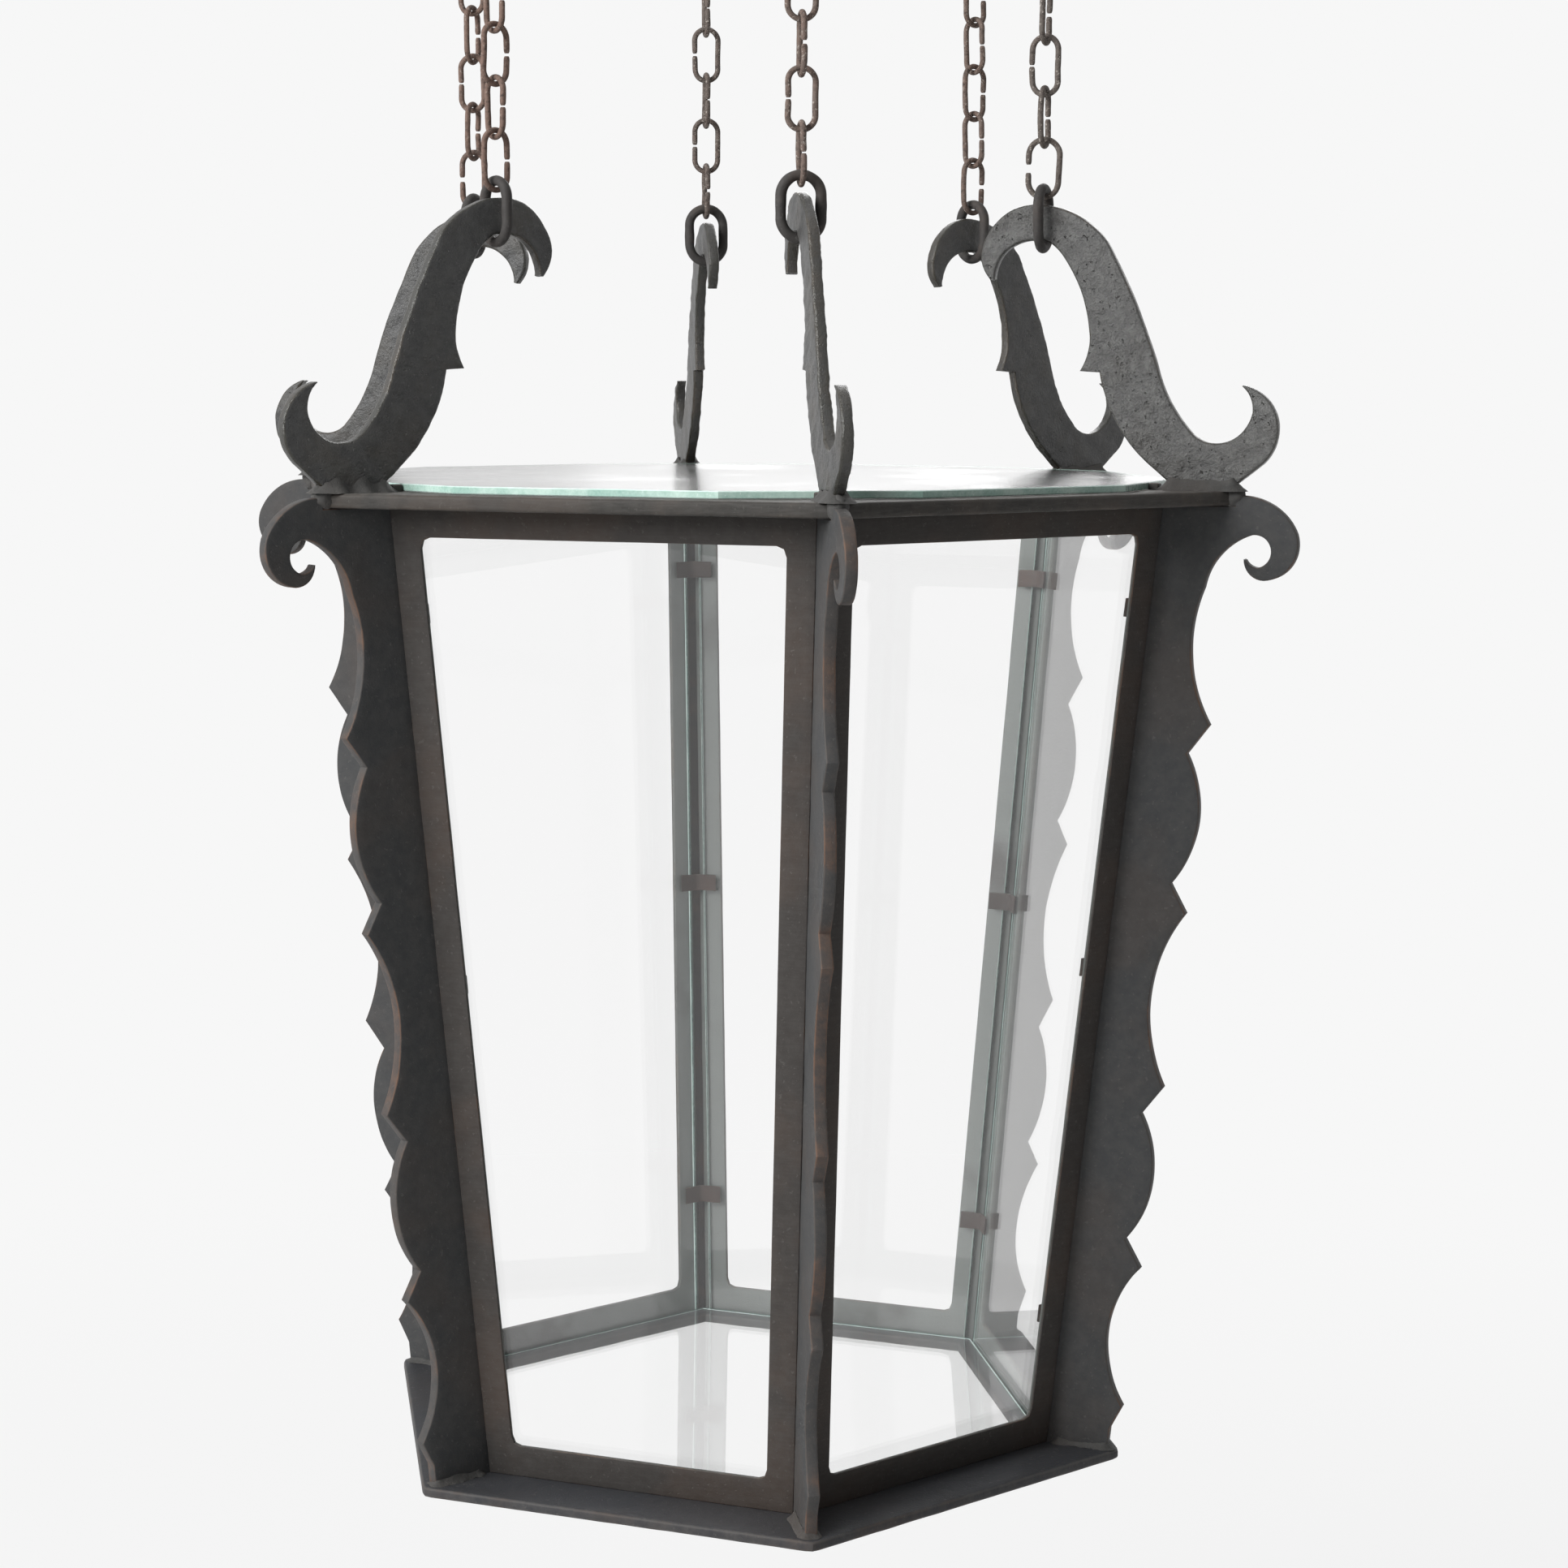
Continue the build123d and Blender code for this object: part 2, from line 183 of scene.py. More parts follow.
def paired(sections, step, closed=False):
    # stations across a plate: both edges of a section get equally many points
    lefts, rights = [], []
    for number, (left, right) in enumerate(sections):
        count = max(2, int(np.ceil(max(runLength(left), runLength(right)) / step)) + 1)
        keep = count if number == len(sections) - 1 and not closed else count - 1
        lefts.append(spread(left, count)[:keep])
        rights.append(spread(right, count)[:keep])
    return np.concatenate(lefts), np.concatenate(rights)


# Closed loops of points

def trapezoid(base, top, baseHalf, topHalf):
    return np.array([(-baseHalf, base), (baseHalf, base), (topHalf, top), (-topHalf, top)])


def hexagon(edge):  # six corners, with each side at the edge's distance from the middle
    return edge / cos30 * ray(cornerTurns)


def roundedLoop(centres, radius, first, count):
    # a quarter circle round each of four centres, anticlockwise from an angle
    angle = np.radians(first + np.linspace(0, 90, count) + 90 * np.arange(4)[:, None])
    return (np.array(centres)[:, None] + radius * ray(angle)).reshape(-1, 2)


def insetLoop(loop, amount):
    # a convex loop moved in by the same amount along each edge
    ahead = unit(np.roll(loop, -1, 0) - loop)
    square = np.stack([-ahead[:, 1], ahead[:, 0]], -1)
    before = np.roll(square, 1, 0)
    inwards = (square + before) / (1 + (square * before).sum(1))[:, None]
    area = (loop[:, 0] * np.roll(loop[:, 1], -1) - loop[:, 1] * np.roll(loop[:, 0], -1)).sum()
    return loop + amount * np.sign(area) * inwards


# Surfaces on a grid, and the pieces made of them

def surface(points, closedAlong=False, closedRound=True, wear=0.0, tone=0.0, kinds=0):
    # a grid of quads, with an n-gon over each open end, facing outwards
    rows, columns = points.shape[:2]
    index = np.arange(rows * columns).reshape(rows, columns)
    below, beside = np.roll(index, -1, 0), np.roll(index, -1, 1)
    quads = np.stack([index, below, np.roll(below, -1, 1), beside], -1)
    kinds = np.full((rows, columns), kinds)
    caps = []
    if not closedAlong:
        quads, kinds, caps = quads[:-1], kinds[:-1], [index[0], index[-1][::-1]]
    if not closedRound:
        quads, kinds, caps = quads[:, :-1], kinds[:, :-1], caps or [index[::-1, 0], index[:, -1]]
    quads = quads.reshape(-1, 4)
    kinds = np.r_[kinds.reshape(-1), np.zeros(len(caps), int)]
    flat = points.reshape(-1, 3)
    fans = [np.stack([np.full(len(cap) - 2, cap[0]), cap[1:-1], cap[2:]], -1) for cap in caps]
    triangles = np.concatenate([quads[:, [0, 1, 2]], quads[:, [0, 2, 3]]] + fans)
    a, b, c = (flat[triangles[:, corner]] - flat.mean(0) for corner in range(3))
    faces = quads.tolist() + [cap.tolist() for cap in caps]
    if (a * np.cross(b, c)).sum() < 0:  # inside out
        faces = [face[::-1] for face in faces]
    overAll = lambda value: np.full((rows, columns), value, float).reshape(-1)
    return {"points": flat, "faces": faces, "kinds": kinds, "wear": overAll(wear), "tone": overAll(tone)}


def added(name, data):
    made = bpy.data.objects.new(name, data)
    scene.collection.objects.link(made)
    return made


def piece(name, surfaces, finishes, nodes, body="lantern", sharp=35):
    # one object of all its surfaces, riding on a body in the place of CAD nodes
    joined = lambda key: np.concatenate([part[key] for part in surfaces])
    starts = np.cumsum([0] + [len(part["points"]) for part in surfaces])
    faces = [
        [corner + int(start) for corner in face]
        for part, start in zip(surfaces, starts) for face in part["faces"]
    ]
    mesh = bpy.data.meshes.new(name)
    mesh.from_pydata((joined("points") * mm).tolist(), [], faces)
    mesh.polygons.foreach_set("material_index", joined("kinds").astype(np.int32))
    mesh.polygons.foreach_set("use_smooth", np.ones(len(faces), bool))
    for attribute in ("wear", "tone"):
        layer = mesh.attributes.new(attribute, "FLOAT", "POINT")
        layer.data.foreach_set("value", joined(attribute).astype(np.float32))
    for finish in finishes:
        mesh.materials.append(finish)
    mesh.update()
    mesh.set_sharp_from_angle(angle=np.radians(sharp))
    made = added(name, mesh)
    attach(made, body)
    if nodes:
        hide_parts(*nodes)


def plateLoop(across):
    # a plate's section: front face, right edge, back face, left edge, each corner a quarter round
    face = np.linspace(0, 1, across + 1)
    bend = np.radians([30, 60, 90])
    quarter, drop = 1 - np.sin(bend), 1 - np.cos(bend)
    rub, rubEnd = np.array([0.8, 1.0, 0.65]), 0.3
    one, none, ones = np.ones(3), np.zeros(3), np.ones(across + 1)
    shares = np.r_[face, one, one, face[::-1], none, none]
    inset = np.r_[1 - 2 * face, -quarter, -quarter[::-1], 1 - 2 * face[::-1], quarter, quarter[::-1]]
    side = np.r_[ones, one, -one, -ones, -one, one]
    drops = np.r_[0 * face, drop, drop[::-1], 0 * face, drop, drop[::-1]]
    wear = np.r_[0 * face, rub, rub[::-1], 0 * face, rub, rub[::-1]]
    wear[[0, across, across + 7, 2 * across + 7]] = rubEnd  # where a face meets its rounds
    return shares, inset, side, drops, wear


def plate(left, right, place, size, seed, closed=False, tone=0.0):
    # a rounded section carried along two edges, dented inwards by the hammer's unevenness
    thickness, hammer = size["thickness"], size["hammer"]
    shares, inset, side, drops, wear = plateLoop(size["across"])
    span = right - left
    width = np.linalg.norm(span, axis=1)[:, None]
    rims = np.minimum(size["rim"], 0.4 * np.minimum(width, thickness))
    flat = left[:, None] + shares[:, None] * span[:, None]
    flat = flat + (span / width)[:, None] * (rims * inset)[..., None]
    lift = side * (thickness / 2 - drops * rims)
    at = place(flat[..., 0], flat[..., 1], lift)
    dent = lambda wide, number: (1 + np.clip(unevenness(at, wide, seed + number), -1, 1)) / 2
    coarse, fine, long = hammer["size"], hammer["size"] / 3, hammer["size"] * 1.6
    lift = lift - side * hammer["face"] * (0.7 * dent(coarse, 0) + 0.3 * dent(fine, 1))
    flat = flat - hammer["edge"] * np.stack([dent(long, 2), dent(long, 3)], -1)
    # the tone goes on the back faces, where the frames' finish paints a reflection
    return surface(place(flat[..., 0], flat[..., 1], lift), closed, True, wear, (side < 0) * tone)


def sixPlates(name, node, sections, size, finishes, turns, placing, closed=False, tone=0.0):
    # like plates round the lantern, each with its own unevenness
    left, right = paired(sections, size["step"], closed)
    for number, turn in enumerate(turns):
        seed = size["seed"] + seedStep * number
        shape = plate(left, right, placing(turn), size, seed, closed, tone)
        nodes = [f"{node}_{number + 1}"]
        piece(f"{name}_{number + 1}", [shape], [finishes[number]], nodes)
    print(name + "s made")


def slab(loop, depths, insets, place, kinds=0, wear=0.0):
    # the loop repeated at each depth, moved in where the edge is eased
    rows = [place(*insetLoop(loop, inset).T, depth) for depth, inset in zip(depths, insets)]
    return surface(np.stack(rows, 1), True, False, wear, 0.0, kinds)


def easedSlab(loop, low, high, ease, place, kinds=0):
    depths, insets = (low, low + ease, high - ease, high), (ease, 0.0, 0.0, ease)
    return slab(loop, depths, insets, place, kinds)


def tube(centres, square, across, radius, count, closed, wear=0.0, tone=0.0):
    # a circle carried along a path, on two directions square to it
    angle = np.linspace(0, fullTurn, count, endpoint=False)[:, None]
    circles = np.cos(angle) * square[:, None] + np.sin(angle) * across[:, None]
    return surface(centres[:, None] + radius[:, None, None] * circles, closed, True, wear, tone)


# Finishes

def shade(colour):  # red, green and blue as a picture shows them, 0 to 255
    value = np.array(colour) / 255
    linear = np.where(value < 0.04045, value / 12.92, ((value + 0.055) / 1.055) ** 2.4)
    return (*linear.tolist(), 1.0)


class Socket:
    # a socket of a node tree: + - * on sockets and numbers add Math nodes
    def __init__(self, tree, socket=None):
        self.tree, self.socket = tree, socket

    def node(self, kind, inputs={}, output=0, **settings):
        made = self.tree.nodes.new("ShaderNode" + kind)
        for key, value in settings.items():
            setattr(made, key, value)
        for key, value in inputs.items():
            if isinstance(value, Socket):
                self.tree.links.new(value.socket, made.inputs[key])
            else:
                made.inputs[key].default_value = value
        return Socket(self.tree, made.outputs[output] if len(made.outputs) else None)

    def math(self, operation, first, second):
        return self.node("Math", {0: first, 1: second}, operation=operation)

    def __add__(self, other):
        return self.math("ADD", self, other)

    def __sub__(self, other):
        return self.math("SUBTRACT", self, other)

    def __rsub__(self, other):
        return self.math("SUBTRACT", other, self)

    def __mul__(self, other):
        return self.math("MULTIPLY", self, other)

    __radd__, __rmul__ = __add__, __mul__

    def most(self, other):
        return self.math("MAXIMUM", self, other)

    def between(self, low, high):  # 0 below low, 1 above high, smooth between
        span = {"Value": self, "From Min": low, "From Max": high}
        return self.node("MapRange", span, interpolation_type="SMOOTHSTEP")

    def mixed(self, first, second):  # one colour into another by this value
        first, second = (c if isinstance(c, Socket) else shade(c) for c in (first, second))
        return self.node("Mix", {0: self, 6: first, 7: second}, 2, data_type="RGBA")

    def cloud(self, scale, detail, roughness=0.6):  # noise at this place
        noise = {"Vector": self, "Scale": scale, "Detail": detail, "Roughness": roughness}
        return self.node("TexNoise", noise)


def anyRay(start, *kinds):  # 1 for rays of these kinds, 0 for all others
    return reduce(Socket.most, [start.node("LightPath", output=f"Is {kind} Ray") for kind in kinds])


def emptyTree(owner):
    owner.use_nodes = True
    owner.node_tree.nodes.clear()
    return Socket(owner.node_tree)


def startFinish(name):
    finish = bpy.data.materials.new(name)
    start = emptyTree(finish)
    return finish, start, start.node("TexCoord", output="Object")


def ironFinish(name, look, **changes):
    # blackened iron: brown patches, mottling, pale flecks, rubbed edges, dust on what faces up, and paler
    # patches of painted reflection where the tone attribute is set
    look = dict(look, **changes)
    finish, start, spot = startFinish(name)
    rubbed = start.node("Attribute", output="Fac", attribute_name="wear")
    toned = start.node("Attribute", output="Fac", attribute_name="tone")
    patches = spot.cloud(look["patchScale"], 4)
    mottle = spot.cloud(look["mottleScale"], 6, 0.68)
    grain = spot.cloud(look["grainScale"], 3)
    specks = spot.cloud(look["speckScale"], 2, 0.5)
    rusty = spot.cloud(look["rustScale"], 3)
    brushed = start.node("VectorMath", {0: spot, 1: look["brush"]}, operation="MULTIPLY")
    streaks = brushed.cloud(look["streakScale"], 3)
    normal = start.node("NewGeometry", output="Normal")
    up = start.node("SeparateXYZ", {0: normal}, 2)
    brown = patches.between(0.44, 0.66) * look["brownShare"]
    colour = brown.mixed(look["iron"], look["brown"])
    pale = mottle.between(*look["mottleSpan"]) * look["mottleShare"]
    colour = pale.mixed(colour, look["light"])
    colour = (streaks.between(0.4, 0.7) * look["streakShare"]).mixed(colour, look["light"])
    # where the tone attribute is set, patches of the paler inner colour: on the frames' inner faces this is
    # a painted reflection of what the panes mirror over them, with painted light
    colour = (toned * patches.between(0.25, 0.5) * 0.8).mixed(colour, look["inner"])
    colour = (specks.between(0.64, 0.72) * look["speckShare"]).mixed(colour, look["speck"])
    worn = (rubbed + mottle * 0.9 - 0.45).between(0.35, 1.15) * look["wornShare"]
    bare = rusty.between(0.46, 0.62).mixed(look["worn"], look["rust"])
    colour = worn.mixed(colour, bare)
    dust = up.between(0.7, 0.98) * mottle.between(0.25, 0.7) * look["dustShare"]
    colour = dust.mixed(colour, look["dust"])
    rough = (look["rough"] + mottle * 0.22 - 0.11) - worn * 0.12 + dust * 0.15
    height = patches * 0.5 + mottle * 0.6 + grain * 0.22 + streaks * look["streakShare"] * 0.4
    height = height - specks.between(0.66, 0.74) * look["pitDepth"]
    relief = {"Strength": look["bump"], "Distance": look["bumpDepth"], "Height": height}
    bump = start.node("Bump", relief)
    iron = start.node("BsdfPrincipled", {
        "Base Color": colour, "Roughness": rough, "Normal": bump, "Specular IOR Level": look["gloss"],
    })
    start.node("OutputMaterial", {"Surface": iron})
    return finish


# inner is the paler colour that paints a reflection on the frames' inner faces
baseIron = {
    "iron": (66, 66, 66), "brown": (80, 72, 67), "light": (90, 88, 86), "inner": (123, 129, 126),
    "speck": (124, 122, 118), "worn": (98, 95, 92), "rust": (112, 88, 72), "dust": (112, 109, 105),
    "patchScale": 13, "mottleScale": 150, "grainScale": 800, "speckScale": 430, "rustScale": 26,
    "streakScale": 700, "brush": (0.12, 0.12, 1), "mottleSpan": (0.3, 0.75), "brownShare": 0.5,
    "mottleShare": 0.35, "streakShare": 0.0, "speckShare": 0.14, "wornShare": 0.5, "dustShare": 0.15,
    "rough": 0.58, "gloss": 0.12, "bump": 0.4, "bumpDepth": 0.0012, "pitDepth": 0.3,
}
finIron = ironFinish(
    "finIron", baseIron, iron=(65, 66, 67), worn=(84, 78, 74), rust=(116, 86, 67), wornShare=0.7,
    brownShare=0.4,
)
frameIron = ironFinish(
    "frameIron", baseIron, iron=(62, 59, 57), brown=(76, 66, 60), brownShare=0.6, mottleShare=0.2,
    streakShare=0.1,
)
# the top ring's up-facing faces are made much paler than the other irons'
ringIron = ironFinish(
    "ringIron", baseIron, iron=(53, 52, 50), light=(82, 80, 78), rust=(82, 75, 69), worn=(70, 67, 64),
    dustShare=0.6, mottleShare=0.25, streakShare=0.4,
)
footIron = ironFinish(
    "footIron", baseIron, iron=(58, 59, 62), rust=(98, 88, 81), brownShare=0.15, dustShare=0.0,
    mottleShare=0.15,
)
hammeredIron = dict(
    baseIron, iron=(58, 58, 58), brown=(64, 61, 57), light=(78, 78, 76), worn=(50, 49, 44),
    rust=(60, 54, 46), patchScale=38, brownShare=0.8, mottleSpan=(0.4, 0.66), mottleShare=0.5,
    speckShare=0.2, wornShare=1.5, gloss=0.4, rough=0.4, bump=1.2,
)
bracketIron = ironFinish("bracketIron", hammeredIron)
paintedSheenIron = ironFinish(  # one bracket gets a paler copy of the hammered iron, with more pale mottle and flecks: painted sheen and glints where the lamp shines on it
    "paintedSheenIron", hammeredIron, iron=(78, 78, 77), brown=(58, 56, 53), light=(110, 110, 108),
    mottleScale=190, mottleSpan=(0.37, 0.69), mottleShare=0.66, speckShare=0.4, gloss=0.6, rough=0.34,
    bump=2.6, pitDepth=0.6,
)
clipIron = ironFinish("clipIron", baseIron, iron=(62, 54, 51), brown=(78, 64, 58), brownShare=0.9)
weldIron = ironFinish("weldIron", baseIron, iron=(70, 70, 69), bump=0.7, mottleShare=0.5)
shackleIron = ironFinish("shackleIron", baseIron, iron=(62, 60, 59), brown=(82, 73, 68), patchScale=60)


def rustFinish(name, look):
    # chain iron: rust where the tone is high, grey where it is low, with pale flecks and dark pits
    finish, start, spot = startFinish(name)
    toned = start.node("Attribute", output="Fac", attribute_name="tone")
    patches = spot.cloud(look["patchScale"], 4)
    mottle = spot.cloud(look["mottleScale"], 5, 0.7)
    specks = spot.cloud(look["speckScale"], 2, 0.5)
    rusty = (toned * 0.75 + patches * 0.7 - 0.25).between(0.0, 0.9)
    colour = rusty.mixed(look["grey"], look["rust"])
    colour = mottle.between(0.45, 0.72).mixed(colour, look["dark"])
    flecks = specks.between(0.6, 0.7) * (1.05 - toned * 0.75)
    colour = (flecks * 0.8).mixed(colour, look["fleck"])
    height = mottle + patches * 0.6 + flecks * 0.4
    relief = {"Strength": look["bump"], "Distance": look["bumpDepth"], "Height": height}
    bump = start.node("Bump", relief)
    iron = start.node("BsdfPrincipled", {
        "Base Color": colour, "Roughness": 0.6 + mottle * 0.3, "Normal": bump,
        "Specular IOR Level": look["gloss"],
    })
    start.node("OutputMaterial", {"Surface": iron})
    return finish


chainIron = rustFinish("chainIron", {
    "rust": (112, 91, 81), "grey": (98, 92, 87), "dark": (58, 50, 46), "fleck": (184, 176, 167),
    "patchScale": 110, "mottleScale": 420, "speckScale": 620, "gloss": 0.35, "bump": 0.6,
    "bumpDepth": 0.0007,
})


def glassFinish(name, look):
    # clear glass that lets lamp light through, with faint smears
    finish, start, spot = startFinish(name)
    smear = look["dull"] + spot.cloud(look["smearScale"], 4).between(0.45, 0.75) * look["smear"]
    if look["haze"]:  # dust blurs what the pane mirrors where it is seen almost edge-on
        edgeOn = start.node("LayerWeight", {"Blend": 0.5}, "Facing")
        smear = smear + edgeOn.between(0.8, 0.97) * look["haze"]
    glass = start.node("BsdfPrincipled", {
        "Base Color": shade(look["tint"]), "Roughness": smear, "IOR": look["index"],
        "Transmission Weight": 1.0,
    })
    clear = start.node("BsdfTransparent", {"Color": shade(look["tint"])})
    mix = start.node("MixShader", {0: anyRay(start, "Shadow", "Diffuse"), 1: glass, 2: clear})
    start.node("OutputMaterial", {"Surface": mix})
    return finish


def cutEdgeFinish(name, deep, pale, chip):
    # the cut edge of a pane: green, with pale streaks and chips along it
    finish, start, spot = startFinish(name)
    streak, chips = spot.cloud(60, 4), spot.cloud(700, 2)
    colour = streak.between(0.3, 0.7).mixed(deep, pale)
    colour = (chips.between(0.66, 0.74) * 0.6).mixed(colour, chip)
    edge = start.node("BsdfPrincipled", {
        "Base Color": colour, "Roughness": 0.18 + chips * 0.2, "Specular IOR Level": 0.6,
    })
    start.node("OutputMaterial", {"Surface": edge})
    return finish


clearGlass = {
    "tint": (254, 254, 254), "index": 1.5, "smearScale": 9, "dull": 0.0, "smear": 0.012, "haze": 0.0,
}
paneGlass = glassFinish("paneGlass", clearGlass)
dustyGlass = glassFinish("dustyGlass", dict(clearGlass, dull=0.07, smear=0.1, haze=0.09))
paneEdge = cutEdgeFinish("paneEdge", (62, 86, 82), (98, 128, 122), (210, 226, 219))
paneArris = cutEdgeFinish("paneArris", (194, 220, 212), (222, 238, 232), (232, 240, 236))
# the top pane's edge is far paler than the side panes': painted light standing in for light carried through
# the glass
topEdgePaintedLight = cutEdgeFinish("topEdgePaintedLight", (150, 188, 175), (194, 220, 209), (226, 238, 232))
print("finishes made")


# Corner fins: foot, two spear motifs between three bays, and a curl under the top ring
fin = {
    "thickness": plateThickness, "rim": 0.9, "step": 2.2, "across": 8, "seed": 40,
    "hammer": {"face": 0.35, "edge": 0.3, "size": 22},
    "foot": 33.0, "notchHeight": 12.0, "thornHeight": 25.5, "thorn": 38.5, "notch": 28.0, "bulge": 39.0,
    "bay": 24.5, "topBay": 23.5, "motifs": (106.5, 309.5), "motifHeight": 104.5, "motifNotch": 16.0,
    "curl": {  # out from the top ring's corner, and down from its underside
        "throat": (-16, 44), "neck": (-6.5, 25.4), "eyeTop": (9.5, 15.4), "eyeSide": (20, 24),
        "eyeBase": (13, 32.8), "lip": (8.5, 31.2), "tip": (5.5, 27), "corner": (0.3, 0),
        "crest": (0.3, -5.6), "crown": (20, -1.2), "side": (33.5, 14), "lowSide": (31.5, 31),
        "under": (16.5, 39.9), "chin": (8, 36),
    },
}


def finSections():
    # outer edge from the foot to the curl, paired with the inner edge, the ring and the curl's back
    def at(height, standout):
        return (cornerRadius(footTop + height) + standout, footTop + height)

    def inner(z):
        return (sideDistance(z, sides["sheet"]) / cos30, z)

    def bay(low, high, standout):  # a hollow from one thorn to the next
        return arcRun(low, at((low[1] + high[1]) / 2 - footTop, standout), high)

    curl = spots(fin["curl"], lambda out, down: (ringReach + out, ringBase - down))
    outer = [lineRun(at(0, fin["foot"]), at(fin["notchHeight"], fin["foot"]))]
    thorn = at(fin["thornHeight"], fin["thorn"])
    outer.append(lineRun(outer[0][-1], thorn))
    for low in fin["motifs"]:
        high = low + fin["motifHeight"]
        lowThorn, highThorn = at(low, fin["thorn"]), at(high, fin["thorn"])
        lowNotch = at(low + fin["motifNotch"], fin["notch"])
        highNotch = at(high - fin["motifNotch"], fin["notch"])
        outer += [bay(thorn, lowThorn, fin["bay"]), lineRun(lowThorn, lowNotch)]
        outer.append(arcRun(lowNotch, at((low + high) / 2, fin["bulge"]), highNotch))
        outer.append(lineRun(highNotch, highThorn))
        thorn = highThorn
    outer.append(bay(thorn, curl.throat, fin["topBay"]))
    sections = [(lineRun(inner(run[0][1]), inner(run[-1][1])), run) for run in outer]
    neck = arcRun(curl.throat, curl.neck, curl.eyeTop)
    back = [arcRun(curl.crest, curl.crown, curl.side), arcRun(curl.side, curl.lowSide, curl.under)]
    chin, lip = arcRun(curl.under, curl.chin, curl.tip), arcRun(curl.eyeBase, curl.lip, curl.tip)
    return sections + [
        (lineRun(inner(curl.throat[1]), inner(ringBase)), share(neck, 0, 0.45)),
        (lineRun(inner(ringBase), curl.corner), share(neck, 0.45, 0.85)),
        (lineRun(curl.corner, curl.crest), share(neck, 0.85, 1)),
        (np.concatenate(back), arcRun(curl.eyeTop, curl.eyeSide, curl.eyeBase)),
        (share(chin, 0, 0.93), share(lip, 0, 0.8)),
    ]


sixPlates("fin", "corner_fin", finSections(), fin, [finIron] * 6, cornerTurns, standing)


# Scroll brackets: an upturned curl, an S-shaped stem with a thorn, and a hook with a beak
bracket = {
    "thickness": plateThickness, "rim": 1.5, "step": 1.8, "across": 10, "seed": 90, "bright": 2,
    "hammer": {"face": 0.9, "edge": 0.3, "size": 13},
    "foot": 36.0, "footHeight": 3.5, "footFlare": 0.5, "hookInset": 110.0, "hookHeight": 133.9,
    "curl": {  # inwards from the top ring's corner, and up from the ring
        "tip": (-1.5, 56.8), "inside": (-6.5, 50), "inner": (-8, 42), "cup": (9.5, 25.6),
        "saddle": (24, 30), "side": (-22.5, 34.1), "base": (-15, 15),
    },
    "stem": {  # shares of the hook's inset and height
        "heelTop": (0.438, 0.1), "rise": (0.328, 0.344), "low": (0.4, 0.486), "back": (0.516, 0.743),
        "high": (0.668, 0.994), "belly": (0.606, 0.266), "thornBase": (0.695, 0.47),
        "thornTip": (0.795, 0.475), "thornTop": (0.757, 0.55), "thornRoot": (0.75, 0.63),
        "throat": (0.822, 0.845),
    },
    "hook": {  # inwards and up from the middle of the hook's seat
        "crown": (4, 19.5), "seat": (-5, 0), "bendEnd": (-0.5, 0), "seatEnd": (5, 0), "cheek": (34, -6),
        "jaw": (32.5, -15.5), "beak": (26, -23),
    },
}


def bracketSections():
    # the upper edge from the curl's tip to the beak, paired with the lower edge
    inset, height, foot = bracket["hookInset"], bracket["hookHeight"], bracket["foot"]
    flare, footHeight = bracket["footFlare"], bracket["footHeight"]

    def at(inward, up):
        return (ringReach - inward, ringTop + up)

    curl = spots(bracket["curl"], at)
    stem = spots(bracket["stem"], lambda inward, up: at(inset * inward, height * up))
    hook = spots(bracket["hook"], lambda inward, up: at(inset + inward, height + up))
    toe, heel = at(-flare, footHeight), at(foot + flare, footHeight)
    sole, heelSole = at(0, 0), at(foot, 0)
    curlOuter = arcRun(curl.tip, curl.side, curl.base)
    curlInner = arcRun(curl.tip, curl.inside, curl.inner)
    cup = arcRun(curl.inner, curl.cup, curl.saddle)
    rise, back = arcRun(curl.saddle, stem.rise, stem.low), arcRun(stem.low, stem.back, stem.high)
    belly = arcRun(stem.thornBase, stem.belly, stem.heelTop)[::-1]
    throat = arcRun(stem.thornRoot, stem.throat, hook.seat)
    # the throat bends into the seat on a quadratic curve round the seat's corner
    bend = np.linspace(0, 1, 24)[:, None]
    early, corner, late = share(throat, 0, 0.82)[-1], np.array(hook.seat), np.array(hook.bendEnd)
    roundIn = (1 - bend) ** 2 * early + 2 * bend * (1 - bend) * corner + bend ** 2 * late
    underHook = np.concatenate([share(throat, 0.55, 0.82), roundIn, lineRun(late, hook.seatEnd)])
    overHook = tangentRun(hook.crown, stem.high, (1, 0))[::-1]
    jaw = arcRun(hook.cheek, hook.jaw, hook.beak)
    cheek = np.concatenate([tangentRun(hook.crown, hook.cheek, (-1, 0)), jaw])
    beak = tangentRun(hook.seatEnd, hook.beak, (-1, 0))
    return [
        (share(curlInner, 0.06, 1), share(curlOuter, 0.03, 0.42)),
        (share(cup, 0, 0.3), share(curlOuter, 0.42, 1)),
        (share(cup, 0.3, 0.48), lineRun(curl.base, toe)),
        (share(cup, 0.48, 0.56), lineRun(toe, sole)),
        (share(cup, 0.56, 1), lineRun(sole, heelSole)),
        (share(rise, 0, 0.12), lineRun(heelSole, heel)),
        (share(rise, 0.12, 0.4), lineRun(heel, stem.heelTop)),
        (share(rise, 0.4, 1), belly),
        (share(back, 0, 0.14), lineRun(stem.thornBase, stem.thornTip)),
        (share(back, 0.14, 0.4), arcRun(stem.thornTip, stem.thornTop, stem.thornRoot)),
        (share(back, 0.4, 1), share(throat, 0, 0.55)),
        (overHook, underHook),
        (share(cheek, 0, 0.955), share(beak, 0, 0.93)),
    ]


# the bracket numbered by bright gets the paler finish with the painted sheen
irons = [paintedSheenIron if k + 1 == bracket["bright"] else bracketIron for k in range(6)]
sixPlates("bracket", "scroll_bracket", bracketSections(), bracket, irons, cornerTurns, standing)


# Side frames: flat bars round a rounded opening, leaning out towards the top
bars = {
    "thickness": sides["sheet"], "rim": 0.6, "step": 5.0, "across": 4, "seed": 150,
    "hammer": {"face": 0.18, "edge": 0.12, "size": 30}, "gap": 0.12, "endGap": 0.1,
    # the share of painted reflection on the frames' inner faces
    "innerReflectionShare": 1.0,
}


